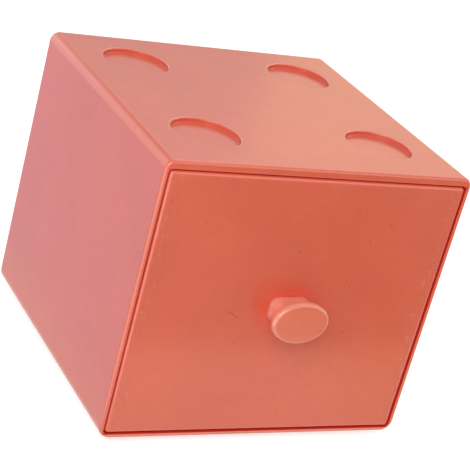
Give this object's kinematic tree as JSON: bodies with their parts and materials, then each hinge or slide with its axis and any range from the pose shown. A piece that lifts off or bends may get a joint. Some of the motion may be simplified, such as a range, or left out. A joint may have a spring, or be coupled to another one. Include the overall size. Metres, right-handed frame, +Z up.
{
  "type": "storage drawer",
  "caption": "Stacking storage brick: an open-fronted moulded plastic casing with round top recesses and feet, and a pull-out drawer with a mushroom knob.",
  "frame": {"origin": "on the standing surface, midway between the four feet and so under the middle of the casing", "axes": "+X right and -Y forward, towards someone facing the drawer, +Z up"},
  "size_m": [0.12, 0.1283, 0.1074],
  "materials": {
    "casing": "glossy moulded coral plastic",
    "foot": "matte coral plastic",
    "tray": "glossy moulded coral plastic",
    "front": "glossy moulded coral plastic",
    "knob": "glossy moulded coral plastic",
    "screw": "zinc-plated pan-head screw",
    "washer": "zinc-plated washer"
  },
  "bodies": {
    "casing": {"casing": "casing", "foot_front_left": "foot", "foot_front_right": "foot", "foot_back_left": "foot", "foot_back_right": "foot"},
    "drawer": {"drawer_tray": "tray", "drawer_front": "front", "knob": "knob", "knob_screw": "screw", "knob_washer": "washer"}
  },
  "joints": [
    {"name": "drawer_slide", "type": "slide", "parent": "casing", "child": "drawer", "axis": [0, -1, 0], "range_m": [0, 0.079]}
  ]
}
